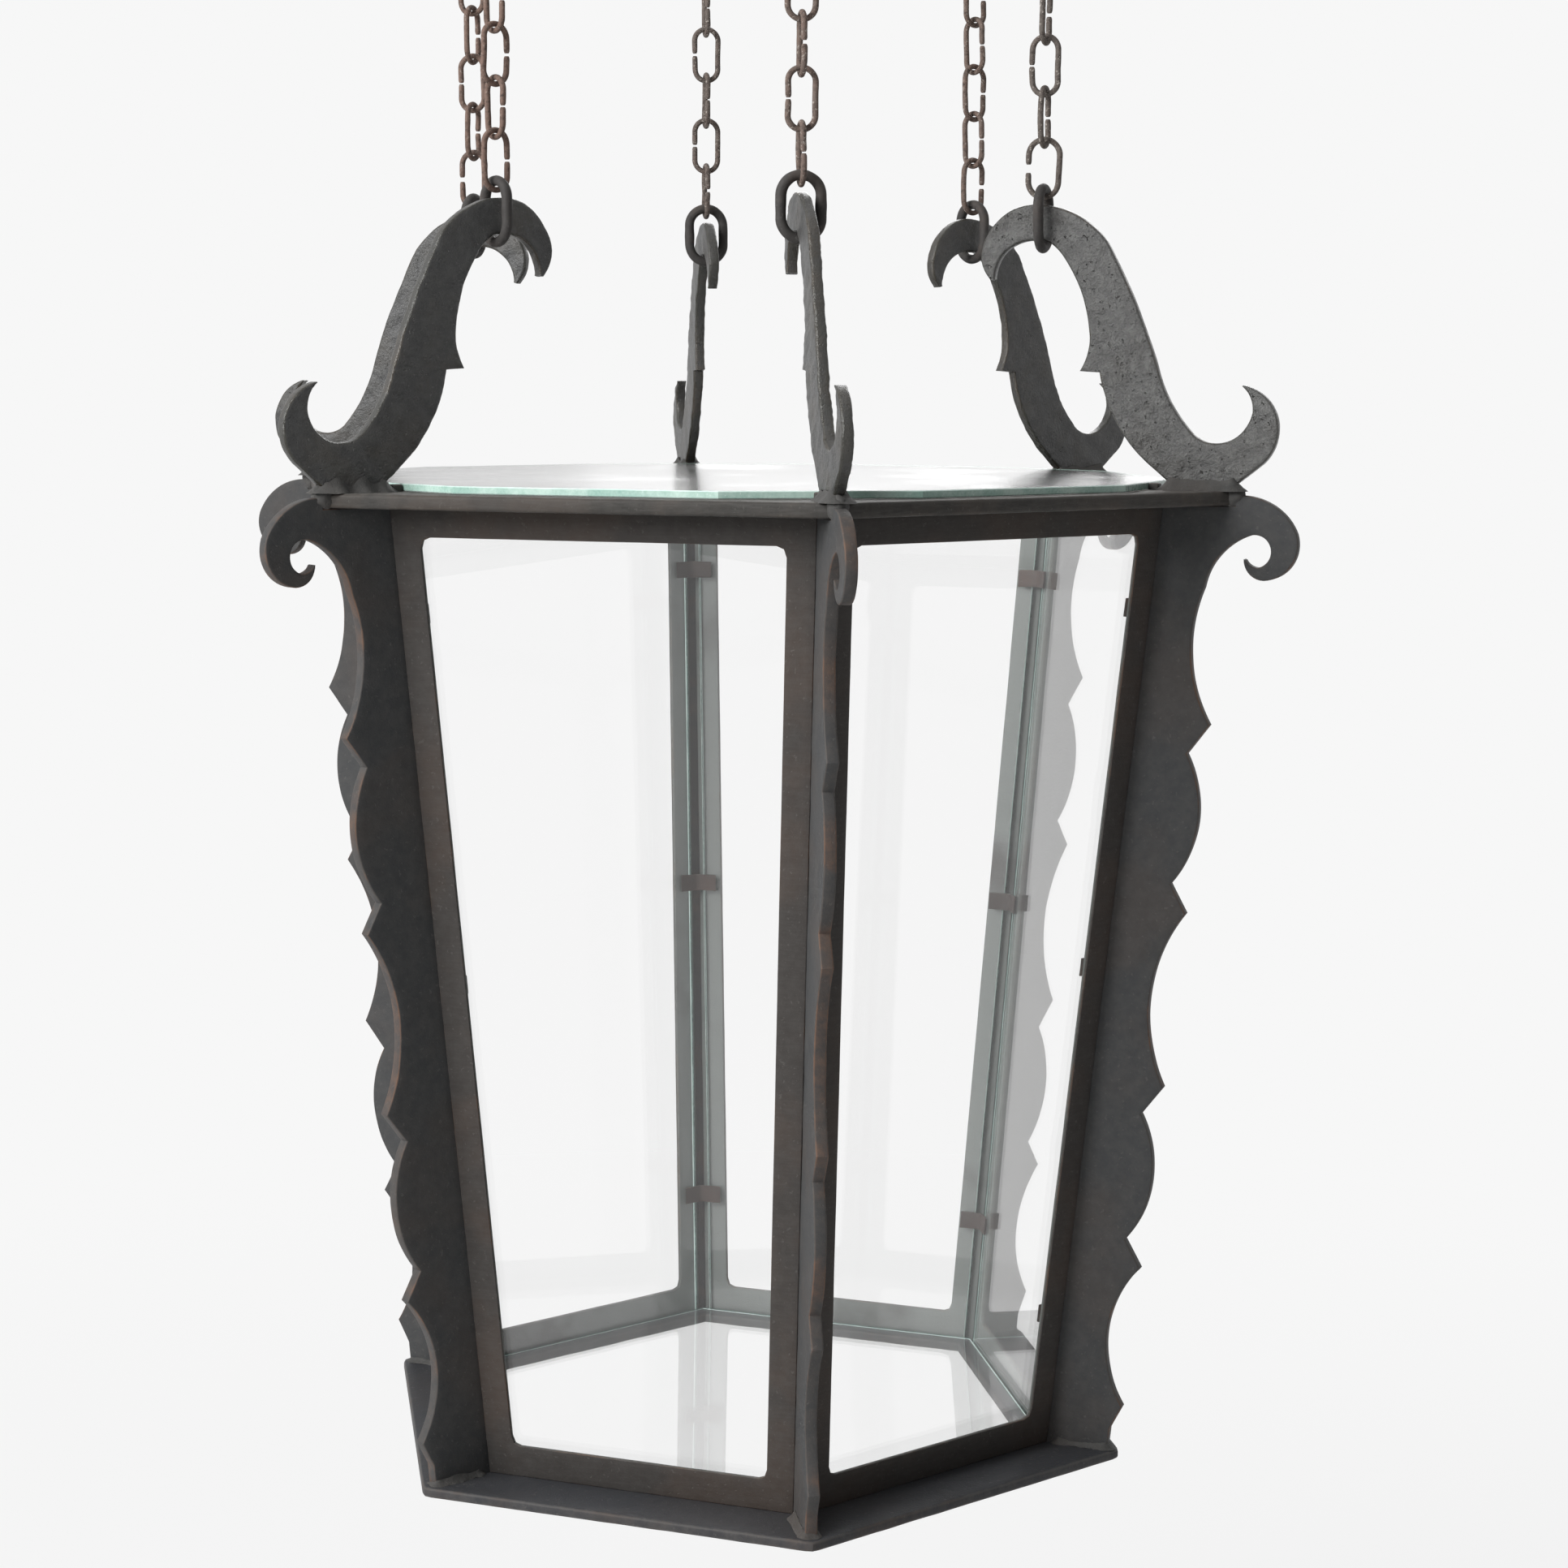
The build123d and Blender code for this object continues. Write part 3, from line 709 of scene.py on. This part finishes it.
def frameSections():
    # each bar's inner edge runs from the middle of one rounded corner to the next
    base, top = footTop + bars["endGap"], ringBase - bars["endGap"]
    outer = trapezoid(base, top, sideHalf(base, 0, bars["gap"]), sideHalf(top, 0, bars["gap"]))
    baseHalf, topHalf = sideHalf(openBase, 0) - sides["stile"], sideHalf(openTop, 0) - sides["stile"]
    opening = trapezoid(openBase, openTop, baseHalf, topHalf)
    ahead = unit(np.roll(opening, -1, 0) - opening)
    before = np.roll(ahead, 1, 0)
    half = np.arccos(np.clip((ahead * -before).sum(1), -1, 1)) / 2
    setBack = (sides["openingRound"] / np.tan(half))[:, None]
    middle = opening + unit(ahead - before) * (sides["openingRound"] * (1 / np.sin(half) - 1))[:, None]
    starts, ends = opening - before * setBack, opening + ahead * setBack
    rounds = [arcRun(*points) for points in zip(starts, middle, ends)]
    sections = []
    for k in range(4):
        after = (k + 1) % 4
        inner = np.concatenate([share(rounds[k], 0.5, 1), share(rounds[after], 0, 0.5)])
        sections.append((lineRun(outer[k], outer[after]), inner))
    return sections


sixPlates(
    "frame", "side_frame", frameSections(), bars, [frameIron] * 6, sideTurns,
    lambda turn: leaning(turn, sides["sheet"] / 2, -1), True, bars["innerReflectionShare"],
)


# Rings: six flat bars mitred at the corners, worn round along the outer edge
rings = {
    "top_ring": {"reach": ringReach, "side": ringBase, "rim": 1.9, "seed": 208, "finish": ringIron},
    "bottom_ring": {"reach": 226.4, "side": footTop, "rim": 1.6, "seed": 211, "finish": footIron},
}
ringBars = {
    "lap": 17.0, "step": 4.0, "across": 10, "cornerRound": 3.0, "cornerDrop": 0.28,
    "hammer": {"face": 0.3, "edge": 0.0, "size": 34},
}


def ringSections(reach, inner):
    # outer hexagon with eased corners, paired with the inner hexagon from corner to corner
    def corner(radius, k):
        return radius * ray(cornerTurns[k % 6])

    ease = ringBars["cornerRound"]
    tip = reach - ringBars["cornerDrop"] * ease
    sections = []
    for k in range(6):
        start, end = corner(reach, k), corner(reach, k + 1)
        along = ease * ((end - start) / np.linalg.norm(end - start))
        outer = lineRun(corner(tip, k), start + along, end - along, corner(tip, k + 1))
        sections.append((outer, lineRun(corner(inner, k), corner(inner, k + 1))))
    return sections


for name, ring in rings.items():
    base, top = level(name, 0), level(name, 1)
    inner = (sideDistance(ring["side"], 0) - ringBars["lap"]) / cos30
    left, right = paired(ringSections(ring["reach"], inner), ringBars["step"], True)
    size = dict(ringBars, thickness=top - base, rim=ring["rim"])
    shape = plate(left, right, lying((base + top) / 2), size, ring["seed"], True)
    piece(name + "_bars", [shape], [ring["finish"]], [name])
print("rings made")


# Panes: flat sheets with eased, ground edges
panes = {
    "thickness": 4.0, "ease": 0.5, "gap": 0.2, "sideGap": 0.3, "lift": 0.05, "topInset": 16.0, "sharp": 20,
}
stops = {  # blocks in front of the top pane's cut corners
    "length": 6.0, "width": 8.0, "round": 1.2, "levels": (0.0, 2.6, 3.2, 3.5),
    "insets": (0.0, 0.15, 0.4, 1.0), "wear": (0, 0.4, 1, 0.6),
}
paneSkins = [paneGlass, paneEdge, paneArris]
paneKinds = (2, 1, 2, 2)  # arris, cut edge and arris, between the depths
paneFront = sides["sheet"] + panes["gap"]
paneBack = paneFront + panes["thickness"]
paneTop = ringBase - panes["gap"]
paneHalves = (sideHalf(z, paneBack, panes["sideGap"]) for z in (footTop, paneTop))
paneLoop = trapezoid(footTop + panes["lift"], paneTop, *paneHalves)


def pane(name, node, loop, place, finishes):
    shape = easedSlab(loop, 0.0, panes["thickness"], panes["ease"], place, paneKinds)
    piece(name, [shape], finishes, [node], sharp=panes["sharp"])


for number, turn in enumerate(sideTurns):
    names = f"pane_{number + 1}", f"side_pane_{number + 1}"
    pane(*names, paneLoop, leaning(turn, paneFront, 1), paneSkins)

# The top pane's corners are cut off square in front of the stops
heelRadius = ringReach - bracket["foot"]  # axis to the heel of a bracket's foot
topEdge = ringReach * cos30 - panes["topInset"]
cutEdge = heelRadius - 2 * stops["length"] - panes["gap"]
cutHalf = (topEdge - cutEdge * cos30) / sin30
topLoop = placed(cutEdge, np.tile([-cutHalf, cutHalf], 6), 0, np.repeat(cornerTurns, 2))[:, :2]
topSkins = [dustyGlass, topEdgePaintedLight, paneArris]
pane("pane_top", "top_pane", topLoop, lying(ringTop + panes["lift"]), topSkins)
bottomLoop = hexagon(sideDistance(footTop, paneBack) - 2 * panes["gap"])
pane("pane_bottom", "bottom_pane", bottomLoop, lying(footTop + panes["lift"]), paneSkins)
print("panes made")

stopRadius = heelRadius - 1.5 * stops["length"]
half, wide = stops["length"] / 2, stops["width"] / 2
stopCorners = insetLoop(trapezoid(-wide, wide, half, half), stops["round"])
stopLoop = roundedLoop(stopCorners, stops["round"], 180, 5)
blocks = []
for turn in cornerTurns:
    place = onRadius(turn, stopRadius, ringTop)
    blocks.append(slab(stopLoop, stops["levels"], stops["insets"], place, wear=stops["wear"]))
piece("stops", blocks, [ringIron], ["pane_stops"])

# Glass clips: a bent strip behind each corner at three heights, with a stem to the fin
clips = {
    "leg": 12.8, "height": 10.2, "thickness": 1.5, "rim": 0.35, "across": 3, "points": 25, "seed": 300,
    "hammer": {"face": 0.1, "edge": 0.3, "size": 12}, "heights": (60.0, 260.0, 460.0), "bend": 1.6,
    "gap": 0.2, "stemWidth": 4.0, "stemHeight": 6.0, "stemEase": 0.5, "stemLap": 1.0,
}
stripEnds = np.linspace(-clips["leg"], clips["leg"], clips["points"])
stripLow, stripHigh = (
    np.stack([stripEnds, 0 * stripEnds + end * clips["height"] / 2], -1) for end in (-1, 1)
)
half, rise, ease = clips["stemWidth"] / 2, clips["stemHeight"] / 2, clips["stemEase"]
strips = []
for turn in cornerTurns:
    for height in clips["heights"]:
        middle = openBase + height

        def place(along, up, lift):
            # the strip follows both panes: it folds at the corner, with a round bend
            depth = paneBack + clips["gap"] + clips["thickness"] / 2 - lift
            fold = np.sqrt(along ** 2 + clips["bend"] ** 2) - clips["bend"] / 2
            radial = sideDistance(middle + up, depth) / cos30 - sin30 * fold
            return placed(radial, along * cos30, middle + up, turn)

        strips.append(plate(stripLow, stripHigh, place, clips, clips["seed"] + int(height)))
        heel = sideDistance(middle, paneBack + clips["stemLap"]) / cos30
        reach = sideDistance(middle, sides["sheet"]) / cos30
        stemLoop = np.array([(heel, -half), (reach, -half), (reach, half), (heel, half)])
        strips.append(easedSlab(stemLoop, -rise, rise, ease, onRadius(turn, 0, middle)))
piece("clips", strips, [clipIron], ["glass_clips"])
print("stops and clips made")


# Weld metal: beads round the brackets' and fins' feet, and a lump on each corner of the top ring
welds = {
    "bracketBead": 7.0, "finBead": 3.6, "lengthways": 1.2, "step": 1.2, "lumps": 16.0, "footRound": 1.0,
    "skin": (0.25, 3.5), "wear": 0.25, "toeInset": 1.5, "finInset": 0.5, "finStart": 4.0,
    "profile": (  # out from the foot and up, in shares of the bead's size
        (1, -0.03), (0.8, 0.15), (0.55, 0.35), (0.33, 0.6), (0.08, 1.0), (-0.15, 0.9), (-0.25, 0.3),
        (-0.2, -0.03),
    ),
    "lump": (7.0, 5.5, 7.0), "lumpInset": 2.0, "lumpDrop": 2.5, "lumpSkin": (0.6, 6.0),
    "lumpWear": 0.3, "bracketSeed": 500, "finSeed": 540, "lumpSeed": 580, "sharp": 50,
}


def weldBead(inner, outer, base, size, turn, seed):
    # a hollow fillet carried round a foot, swelling and shrinking on its way
    ease = welds["footRound"]
    low, high, half = inner + ease, outer - ease, plateThickness / 2 - ease
    loop = roundedLoop([(high, half), (low, half), (low, -half), (high, -half)], ease, 0, 6)
    loop = spread(np.concatenate([loop, loop[:1]]), int(runLength(loop) / welds["step"]))[:-1]
    ahead = unit(np.roll(loop, -1, 0) - np.roll(loop, 1, 0))
    out = np.stack([ahead[:, 1], -ahead[:, 0]], -1)
    spot = placed(*loop.T, base, turn)
    swell = size * (0.85 + 0.3 * unevenness(spot, welds["lumps"], seed))[:, None]
    stand, up = np.array(welds["profile"]).T
    flat = loop[:, None] + out[:, None] * (swell * stand)[..., None] * (welds["lengthways"], 1.0)
    at = placed(flat[..., 0], flat[..., 1], base + swell * up, turn)
    return surface(roughened(at, *welds["skin"], seed), True, True, welds["wear"])


def weldLump(radial, height, turn, seed):
    # an egg-shaped blob of weld metal with an uneven skin
    around = np.linspace(0, fullTurn, 28, endpoint=False)
    down = np.radians(np.linspace(6, 174, 16))[:, None]
    reach, half, rise = welds["lump"]
    out, aside = reach * np.sin(down) * np.cos(around), half * np.sin(down) * np.sin(around)
    at = placed(radial + out, aside, height + rise * np.cos(down), turn)
    return surface(roughened(at, *welds["lumpSkin"], seed), False, True, welds["lumpWear"])


bracketFoot = heelRadius, ringReach - welds["toeInset"], ringTop, welds["bracketBead"]
lumpAt = ringReach - welds["lumpInset"], ringTop - welds["lumpDrop"]
finRadius = cornerRadius(footTop)
finToe = finRadius + fin["foot"] - welds["finInset"]
finFoot = finRadius + welds["finStart"], finToe, footTop, welds["finBead"]
beads = []
for number, turn in enumerate(cornerTurns):
    beads.append(weldBead(*bracketFoot, turn, welds["bracketSeed"] + number))
    beads.append(weldLump(*lumpAt, turn, welds["lumpSeed"] + number))
    beads.append(weldBead(*finFoot, turn, welds["finSeed"] + number))
piece("weld_beads", beads, [weldIron], [], sharp=welds["sharp"])
print("welds made")


# Chains: five links a strand, each a quarter turn from the last, and a shackle round the hook
chain = {
    "radius": 171.5, "width": 17.5, "length": 34.26, "wire": 3.3, "play": 0.3, "links": 5, "sides": 14,
    "points": 84, "bend": 0.35, "lump": 0.0, "seed": 700, "wideLink": (2, 4), "wideBy": 3.0,
    "rust": (0.5, 0.1, 0.6, 0.25, 0.9, 1.0),
    "gaps": (  # the slit in each link of each strand
        (1.2, 0.8, 2.0, 1.0, 0.9), (0.8, 2.0, 1.0, 1.4, 4.5), (1.4, 0.9, 1.2, 0.8, 2.2),
        (0.9, 1.6, 0.8, 1.2, 1.8), (1.0, 1.8, 0.9, 1.3, 2.6), (0.8, 1.0, 1.6, 0.9, 1.2),
    ),
}
shackle = {
    "width": 26.5, "length": 38.0, "wire": 5.8, "sides": 18, "points": 96, "bend": 0.15, "lump": 0.25,
    "seed": 800,
}
wire = {  # for links, shackles and eyes alike
    "wear": 0.3, "thin": 0.985, "uneven": 0.03, "waves": (26, 30, 7), "bearing": 4.0, "bearingWear": 0.05,
    "weld": 3.2, "ends": (0.72, 0.95),
}


def ovalRun(size, gap=0.0, wider=0.0):
    # a stadium from just past the gap on its right leg, round both bends and back
    radius, half = (size["width"] + wider - size["wire"]) / 2, (size["length"] - size["wire"]) / 2
    high, low = half - radius, radius - half
    top = arcRun((radius, high), (0, high + radius), (-radius, high))
    bottom = arcRun((-radius, low), (0, low - radius), (radius, low))
    first, last = lineRun((radius, gap / 2), (radius, high)), lineRun((radius, low), (radius, -gap / 2))
    return np.concatenate([first, top, bottom, last])


def wireRing(run, size, height, along, turn, closed, seed, tone):
    # round wire on an oval, a little bent, and thinner where it bears on its neighbours
    path = spread(run, size["points"] + int(closed))[: size["points"]]
    bearing = np.exp(-((np.abs(path[:, 1]) - path[:, 1].max()) / wire["bearing"]) ** 2)
    nought = 0 * bearing
    spot = np.stack([*path.T, nought + 37.0 * seed], -1)
    sideways, inwards, skin = (unevenness(spot, wave, seed + k) for k, wave in enumerate(wire["waves"]))
    sideways, inwards = (size["bend"] * way * (1 - bearing) for way in (sideways, inwards))
    path = path + np.stack([inwards, nought], -1)
    ahead = unit(np.roll(path, -1, 0) - np.roll(path, 1, 0) if closed else np.gradient(path, axis=0))
    radius = size["wire"] / 2 * (wire["thin"] + wire["uneven"] * skin - wire["bearingWear"] * bearing)
    weld = np.exp(-((path[:, 1] / wire["weld"]) ** 2)) * (path[:, 0] > 0)  # halfway up the right leg
    radius = radius + size["lump"] * weld
    if not closed:  # the wire's ends are rounded off
        for k, end in enumerate(wire["ends"]):
            radius[[k, -1 - k]] *= end

    def inStrand(a, b, c):  # in line with the bracket, or square to it
        return placed(a, c, b, turn) if along else placed(c, a, b, turn)

    centres = placed(chain["radius"], 0, height, turn) + inStrand(*path.T, sideways)
    square = inStrand(ahead[:, 1], -ahead[:, 0], nought)
    across = inStrand(nought, nought, nought + 1)
    return tube(centres, square, across, radius, size["sides"], closed, wire["wear"], tone)


linkTop = (level("top_link_1", 0) + level("top_link_1", 1)) / 2
linkPitch = chain["length"] - 2 * chain["wire"] - chain["play"]
shackleMiddle = (level("shackle_1", 0) + level("shackle_1", 1)) / 2
shackleRun = ovalRun(shackle)
for number, turn in enumerate(cornerTurns):
    strand, rust, gaps = number + 1, chain["rust"][number], chain["gaps"][number]
    links = []
    for k in range(chain["links"]):
        wider = chain["wideBy"] if (strand, k) == chain["wideLink"] else 0.0
        run = ovalRun(chain, gaps[k], wider) * ((-1) ** (k + number), 1)
        height, seed = linkTop - k * linkPitch, chain["seed"] + 10 * strand + k
        links.append(wireRing(run, chain, height, k % 2 == 0, turn, False, seed, rust))
    top, lower = f"top_link_{strand}", f"chain_links_{strand}"
    piece(f"link_{strand}", links[:1], [chainIron], [top], top)
    piece(f"links_{strand}", links[1:], [chainIron], [lower], f"chain_{strand}")
    oval = wireRing(shackleRun, shackle, shackleMiddle, False, turn, True, shackle["seed"] + strand, 0.0)
    node = f"shackle_{strand}"
    piece(f"shackle_ring_{strand}", [oval], [shackleIron], [node], node)
print("chains made")

# Ceiling eyes: a ring under a six-sided collar, on a threaded stud
eye = {
    "width": 19.0, "length": 19.0, "wire": 5.0, "points": 64, "sides": 16, "bend": 0.05, "lump": 0.0,
    "seed": 900, "rust": 0.6, "drop": 4.0, "collar": 9.0, "collarLevels": (-6.5, -5.4, -0.8, 0.0),
    "collarInsets": (1.6, 0.0, 0.0, 0.8), "collarWear": (0.5, 1, 1, 0.5), "stud": 4.0, "studBase": -2.0,
    "studLength": 30.0, "studEnd": 1.2, "studWear": 0.4, "pitch": 1.25, "thread": 0.55,
}
eyeMiddle = -(eye["drop"] + eye["length"] / 2)
collarLoop = hexagon(eye["collar"] * cos30)
eyeRun = ovalRun(eye)
# The thread's crests climb a pitch each turn, and the stud narrows at its end
around = np.linspace(0, fullTurn, 20, endpoint=False)
rise = np.linspace(eye["studBase"], eye["studLength"], 170)[:, None]
valley = np.abs(((rise / eye["pitch"] - around / fullTurn) % 1) * 2 - 1)
narrowing = np.clip((eye["studLength"] - rise) / eye["studEnd"], 0, 1)
studRadius = eye["stud"] - eye["thread"] * np.maximum(valley, 1 - narrowing)
for number, turn in enumerate(cornerTurns):
    place = onRadius(turn, chain["radius"], 0)
    # the eye's rust value becomes the ring's tone, which in shackleIron mixes in the paler inner colour of
    # the painted reflection, not rust
    loop = wireRing(eyeRun, eye, eyeMiddle, False, turn, True, eye["seed"] + number, eye["rust"])
    collar = slab(collarLoop, eye["collarLevels"], eye["collarInsets"], place, wear=eye["collarWear"])
    studAt = place(studRadius * np.cos(around), studRadius * np.sin(around), rise)
    stud = surface(studAt, wear=eye["studWear"])
    node = f"ceiling_eye_{number + 1}"
    piece(f"eye_{number + 1}", [loop, collar, stud], [shackleIron], [node], "ceiling")
print("ceiling eyes made")


# Stage: white surroundings, a pale floor below the lantern and soft lamps
stage = {
    "white": 0.93, "ambient": 0.2, "floor": -1.36, "floorSize": 14.0, "floorTone": 0.9, "aim": (0, 0, -0.5),
    "lamps": {  # place, size and power
        "leftLamp": ((-2.4, -1.3, 0.9), 1.8, 120), "topLamp": ((-0.4, 0.4, 2.2), 2.0, 11),
        "rightLamp": ((2.6, 0.6, 0.6), 1.6, 4), "backLamp": ((0.9, 2.7, 0.9), 1.6, 30),
    },
}
whiteRays = ("Camera", "Glossy", "Transmission")  # the camera, mirrors and glass see the same white
world = bpy.data.worlds.new("studio")
scene.world = world
start = emptyTree(world)
strength = anyRay(start, *whiteRays) * (stage["white"] - stage["ambient"]) + stage["ambient"]
sky = start.node("Background", {"Color": (1, 1, 1, 1), "Strength": strength})
start.node("OutputWorld", {"Surface": sky})

# The floor keeps some shadow under the lantern, and is plain white further off
floorFinish, start, spot = startFinish("paleFloor")
flatSpot = start.node("VectorMath", {0: spot, 1: (1, 1, 0)}, operation="MULTIPLY")
far = start.node("VectorMath", {0: flatSpot}, "Value", operation="LENGTH").between(0.5, 2.6)
plain = start.node("BsdfDiffuse", {"Color": (*[stage["floorTone"]] * 3, 1)})
glow = start.node("Emission", {"Color": (1, 1, 1, 1), "Strength": stage["white"]})
shown = anyRay(start, *whiteRays) * (0.8 + far * 0.2)
mix = start.node("MixShader", {0: shown, 1: plain, 2: glow})
start.node("OutputMaterial", {"Surface": mix})
half = stage["floorSize"] / 2
floorMesh = bpy.data.meshes.new("floor")
floorCorners = [(x, y, stage["floor"]) for x, y in trapezoid(-half, half, half, half).tolist()]
floorMesh.from_pydata(floorCorners, [], [(0, 1, 2, 3)])
floorMesh.materials.append(floorFinish)
floor = added("floor", floorMesh)

for name, (place, size, power) in stage["lamps"].items():
    lamp = bpy.data.lights.new(name, "AREA")
    lamp.shape, lamp.size, lamp.energy = "SQUARE", size, power
    made = added(name, lamp)
    made.location = place
    made.rotation_euler = (Vector(stage["aim"]) - Vector(place)).to_track_quat("-Z", "Y").to_euler()
    made.visible_transmission = False  # no lamp shows through the glass

# Camera: the photograph's own view of the lantern
view = {
    "focal": 3837.16, "centre": (975.01, 954.69), "picture": 1932, "sensor": 36.0, "clip": (0.05, 60.0),
    "pitch": 0.12861, "roll": 0.00407, "yaw": 0.01409, "distance": 1778.18, "height": 585.71,
    "turn": 0.15484,
}
yaw, pitch, roll = view["yaw"], view["pitch"], view["roll"]
ahead = np.array([np.sin(yaw) * np.cos(pitch), np.cos(yaw) * np.cos(pitch), -np.sin(pitch)])
right = np.array([np.cos(yaw), -np.sin(yaw), 0.0])
up = np.cross(right, ahead)
right, up = np.cos(roll) * right + np.sin(roll) * up, np.cos(roll) * up - np.sin(roll) * right
axes = np.eye(4)
axes[:3, :3] = np.stack([right, up, -ahead], -1)
axes[:3, 3] = np.array([0, -view["distance"], openBase + view["height"]]) * mm
lens = bpy.data.cameras.new("camera")
lens.sensor_width, lens.lens = view["sensor"], view["sensor"] * view["focal"] / view["picture"]
lens.shift_x = 0.5 - view["centre"][0] / view["picture"]
lens.shift_y = view["centre"][1] / view["picture"] - 0.5
lens.clip_start, lens.clip_end = view["clip"]
camera = added("camera", lens)
camera.matrix_world = Matrix.Rotation(-view["turn"], 4, "Z") @ Matrix(axes.tolist())
scene.camera = camera
scene.view_settings.view_transform = "Standard"

print("stage set")
